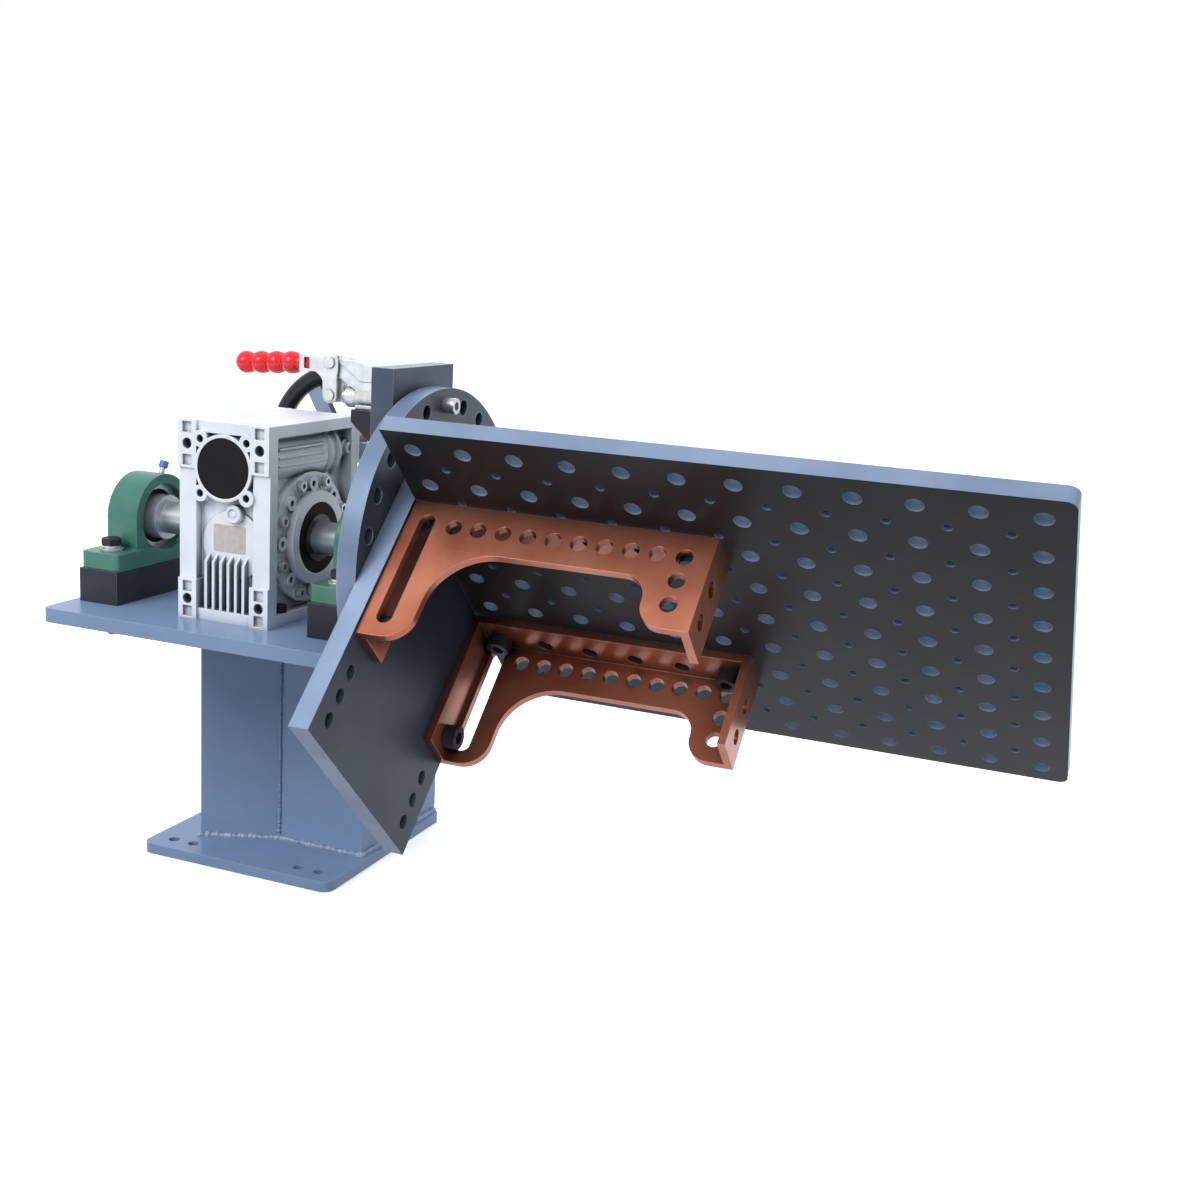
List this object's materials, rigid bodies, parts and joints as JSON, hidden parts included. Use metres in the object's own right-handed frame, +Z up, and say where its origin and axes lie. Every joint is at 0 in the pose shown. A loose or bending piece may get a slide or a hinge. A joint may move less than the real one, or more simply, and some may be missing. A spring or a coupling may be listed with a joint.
{
  "type": "welding positioner",
  "caption": "Floor column with a table, a worm gear unit that turns a spindle in two pillow blocks, an index disc with a locking clamp, and a drilled L-shaped fixture plate.",
  "frame": {"origin": "centre of the base plate's underside, on the floor", "axes": "+Z up, +X along the spindle towards the fixture, -Y towards the operator at the front"},
  "size_m": [1.012, 0.5494, 0.5988],
  "materials": {
    "painted_frame": "satin",
    "weld_bead": "rough",
    "black_steel": "satin",
    "green_cast_iron": "satin",
    "bearing_steel": "polished",
    "seal_rubber": "matt",
    "grease_cap_plastic": "gloss",
    "zinc_plated": "satin",
    "black_oxide": "satin",
    "gear_casting": "satin",
    "ground_steel": "ground",
    "machined_steel": "turned",
    "blackened_plate": "blackened",
    "copper_squares": "satin",
    "wheel_iron": "satin",
    "gear_bronze": "cut",
    "red_grip": "gloss"
  },
  "bodies": {
    "stand": {"base_plate": "painted_frame", "column_box": "painted_frame", "column_wing": "painted_frame", "table_plate": "painted_frame", "column_welds": "weld_bead", "riser_left": "black_steel", "riser_right": "black_steel", "index_block": "black_steel", "clamp_shelf": "black_steel", "pillow_block_left": "green_cast_iron", "pillow_block_right": "green_cast_iron", "bearing_outer_ring_left": "bearing_steel", "bearing_outer_ring_right": "bearing_steel", "wheel_bearings": "bearing_steel", "worm_bearings": "bearing_steel", "bearing_shield_left": "seal_rubber", "bearing_shield_right": "seal_rubber", "gear_oil_seals": "seal_rubber", "worm_seal": "seal_rubber", "input_cap": "seal_rubber", "grease_caps": "grease_cap_plastic", "grease_nipples": "zinc_plated", "flat_washers": "zinc_plated", "spring_washers": "zinc_plated", "gear_cover_screws": "zinc_plated", "clamp_body": "zinc_plated", "clamp_pivot_rivet": "zinc_plated", "pillow_block_bolts": "black_oxide", "gear_foot_screws": "black_oxide", "index_block_screws": "black_oxide", "gear_housing": "gear_casting", "gear_cover_left": "gear_casting", "gear_cover_right": "gear_casting", "oil_plug": "gear_casting"},
    "spindle": {"spindle_shaft": "ground_steel", "bearing_inner_ring_left": "bearing_steel", "bearing_inner_ring_right": "bearing_steel", "bearing_set_screws": "black_oxide", "worm_wheel_hub": "wheel_iron", "worm_wheel_rim": "gear_bronze", "wheel_key": "ground_steel", "index_disc": "machined_steel", "disc_screws": "black_oxide", "stop_pin": "ground_steel", "end_plate": "blackened_plate", "plate_screws": "black_oxide", "long_plate": "blackened_plate", "clamping_square_near": "copper_squares", "clamping_square_far": "copper_squares", "fixture_bolts": "black_oxide", "fixture_nuts": "black_oxide"},
    "worm": {"worm_shaft": "ground_steel", "handwheel_key": "ground_steel", "handwheel": "wheel_iron", "handwheel_washer": "zinc_plated", "handwheel_nut": "zinc_plated"},
    "lever": {"clamp_lever": "zinc_plated", "clamp_grip": "red_grip", "clamp_drive_rivet": "zinc_plated"},
    "plunger": {"clamp_plunger": "zinc_plated"}
  },
  "joints": [
    {"name": "spindle_turn", "type": "hinge", "parent": "stand", "child": "spindle", "pos_m": [0.053, -0.1425, 0.4], "axis": [1, 0, 0], "continuous": true},
    {"name": "handwheel_turn", "type": "hinge", "parent": "stand", "child": "worm", "pos_m": [0.053, 0, 0.475], "axis": [0, 1, 0], "continuous": true},
    {"name": "lever_lift", "type": "hinge", "parent": "stand", "child": "lever", "pos_m": [0.128, -0.1425, 0.583], "axis": [0, 1, 0], "range_deg": [0, 45]},
    {"name": "plunger_slide", "type": "slide", "parent": "stand", "child": "plunger", "axis": [1, 0, 0], "range_m": [-0.0235, 0]}
  ],
  "couplings": [
    {"joint": "handwheel_turn", "follows": "spindle_turn", "ratio": 40},
    {"joint": "plunger_slide", "follows": "lever_lift", "m_per_rad": -0.02971}
  ]
}
